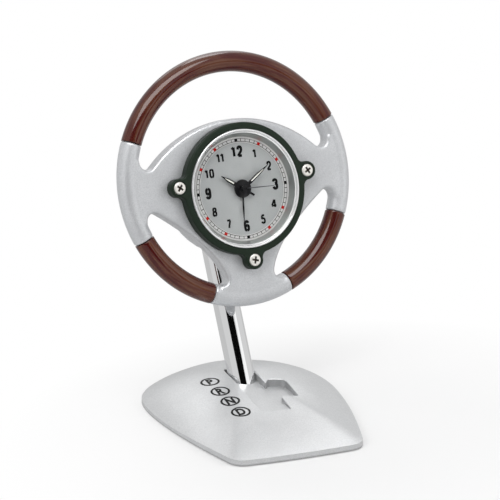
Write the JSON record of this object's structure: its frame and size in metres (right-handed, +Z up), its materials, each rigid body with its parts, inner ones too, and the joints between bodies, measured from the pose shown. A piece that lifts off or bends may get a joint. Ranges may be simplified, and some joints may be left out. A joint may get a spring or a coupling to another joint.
{
  "type": "steering wheel alarm clock",
  "caption": "Desk alarm clock shaped as a three-spoke steering wheel with wood-look rim, on a leaning column and a domed silver base with a shift-gate recess.",
  "frame": {"origin": "centre of the bounding box on the floor, under the wheel head", "axes": "+Z up, the dial faces -Y and leans back 16.6 degrees, +X is the viewer's right; the wheel head is square to X and the base is turned 6.5 degrees under it"},
  "size_m": [0.1196, 0.128, 0.1655],
  "materials": {
    "silver_paint": "satin metallic grain",
    "red_wood": "dark red burl under gloss lacquer",
    "ring_black": "dark green-black satin",
    "chrome": "polished",
    "screw_steel": "plated",
    "dial_silver": "fine matt silver",
    "track_white": "matt print ground",
    "crystal_glass": "clear",
    "hand_black": "satin black",
    "hand_silver": "satin",
    "case_white": "moulded",
    "cover_black": "fine moulded grain",
    "gear_white": "moulded acetal",
    "gear_brass": "cut brass",
    "arbor_steel": "turned",
    "core_steel": "stamped laminations",
    "coil_copper": "enamelled copper winding",
    "board_green": "laminate with solder mask",
    "cell_steel": "nickel plated",
    "knob_black": "ribbed moulding",
    "switch_white": "moulded",
    "weight_iron": "cast",
    "plate_black": "moulded",
    "pad_foam": "closed-cell foam"
  },
  "bodies": {
    "stand": {"clamp_ring": "ring_black", "clamp_screw_1": "screw_steel", "clamp_screw_2": "screw_steel", "clamp_screw_3": "screw_steel", "bezel": "chrome", "crystal": "crystal_glass", "dial": "dial_silver", "minute_track": "track_white", "movement_case": "case_white", "movement_cover": "cover_black", "train_bridge": "case_white", "stator": "core_steel", "coil": "coil_copper", "circuit_board": "board_green", "alarm_buzzer": "gear_brass", "button_cell": "cell_steel", "cell_contact_back": "gear_brass", "cell_contact_side": "gear_brass", "rear_housing": "silver_paint", "wheel_body": "silver_paint", "rim_sleeve_top": "red_wood", "rim_sleeve_left": "red_wood", "rim_sleeve_right": "red_wood", "column_tube": "chrome", "column_plug": "arbor_steel", "neck_screw": "screw_steel", "column_bolt": "arbor_steel", "column_washer": "arbor_steel", "base_shell": "silver_paint", "base_plate": "plate_black", "base_weight": "weight_iron", "base_pad": "pad_foam", "base_screw_1": "screw_steel", "base_screw_2": "screw_steel", "base_screw_3": "screw_steel", "base_screw_4": "screw_steel"},
    "minute": {"minute_hand": "hand_black", "cannon_pinion": "gear_brass"},
    "hour": {"hour_hand": "hand_black", "hour_wheel": "gear_white"},
    "motion": {"motion_wheel": "gear_white"},
    "time_setter": {"time_setting_arbor": "arbor_steel", "time_set_knob": "knob_black"},
    "alarm": {"alarm_hand": "hand_black", "alarm_wheel": "gear_white"},
    "alarm_setter": {"alarm_setting_arbor": "arbor_steel", "alarm_set_knob": "knob_black"},
    "second": {"second_hand": "hand_silver", "second_wheel": "gear_brass"},
    "third": {"third_wheel": "gear_brass"},
    "centre": {"centre_wheel": "gear_brass"},
    "step": {"step_wheel": "gear_white"},
    "rotor": {"rotor": "arbor_steel"},
    "battery_cap": {"battery_cap": "cover_black"},
    "alarm_switch": {"alarm_switch": "switch_white"}
  },
  "joints": [
    {"name": "minute_turn", "type": "hinge", "parent": "stand", "child": "minute", "pos_m": [0, 0.02239, 0.10321], "axis": [0, 0.9583, -0.2857], "continuous": true},
    {"name": "hour_turn", "type": "hinge", "parent": "stand", "child": "hour", "pos_m": [0, 0.02239, 0.10321], "axis": [0, 0.9583, -0.2857], "continuous": true},
    {"name": "motion_turn", "type": "hinge", "parent": "stand", "child": "motion", "pos_m": [-0.00819, 0.02075, 0.09771], "axis": [0, 0.9583, -0.2857], "continuous": true},
    {"name": "time_setter_turn", "type": "hinge", "parent": "stand", "child": "time_setter", "pos_m": [-0.01585, 0.02259, 0.10387], "axis": [0, 0.9583, -0.2857], "continuous": true},
    {"name": "alarm_turn", "type": "hinge", "parent": "stand", "child": "alarm", "pos_m": [0, 0.02239, 0.10321], "axis": [0, 0.9583, -0.2857], "continuous": true},
    {"name": "alarm_setter_turn", "type": "hinge", "parent": "stand", "child": "alarm_setter", "pos_m": [0.01283, 0.02291, 0.10494], "axis": [0, 0.9583, -0.2857], "continuous": true},
    {"name": "second_turn", "type": "hinge", "parent": "stand", "child": "second", "pos_m": [0, 0.02239, 0.10321], "axis": [0, 0.9583, -0.2857], "continuous": true},
    {"name": "third_turn", "type": "hinge", "parent": "stand", "child": "third", "pos_m": [0.0051, 0.02492, 0.11167], "axis": [0, 0.9583, -0.2857], "continuous": true},
    {"name": "centre_turn", "type": "hinge", "parent": "stand", "child": "centre", "pos_m": [0, 0.02239, 0.10321], "axis": [0, 0.9583, -0.2857], "continuous": true},
    {"name": "step_turn", "type": "hinge", "parent": "stand", "child": "step", "pos_m": [-0.00701, 0.02355, 0.10709], "axis": [0, 0.9583, -0.2857], "continuous": true},
    {"name": "rotor_turn", "type": "hinge", "parent": "stand", "child": "rotor", "pos_m": [-0.01121, 0.02563, 0.11406], "axis": [0, 0.9583, -0.2857], "continuous": true},
    {"name": "battery_cap_turn", "type": "hinge", "parent": "stand", "child": "battery_cap", "pos_m": [0, 0.02468, 0.11088], "axis": [0, 0.9583, -0.2857], "range_deg": [0, 60]},
    {"name": "alarm_switch_slide", "type": "slide", "parent": "stand", "child": "alarm_switch", "axis": [1, 0, 0], "range_m": [0, 0.004]}
  ],
  "couplings": [
    {"joint": "motion_turn", "follows": "minute_turn", "ratio": -0.33333},
    {"joint": "hour_turn", "follows": "minute_turn", "ratio": 0.083333},
    {"joint": "time_setter_turn", "follows": "minute_turn", "ratio": 1},
    {"joint": "alarm_setter_turn", "follows": "alarm_turn", "ratio": -2},
    {"joint": "third_turn", "follows": "second_turn", "ratio": -0.13333},
    {"joint": "centre_turn", "follows": "second_turn", "ratio": 0.016667},
    {"joint": "step_turn", "follows": "second_turn", "ratio": -5},
    {"joint": "rotor_turn", "follows": "second_turn", "ratio": 30}
  ]
}
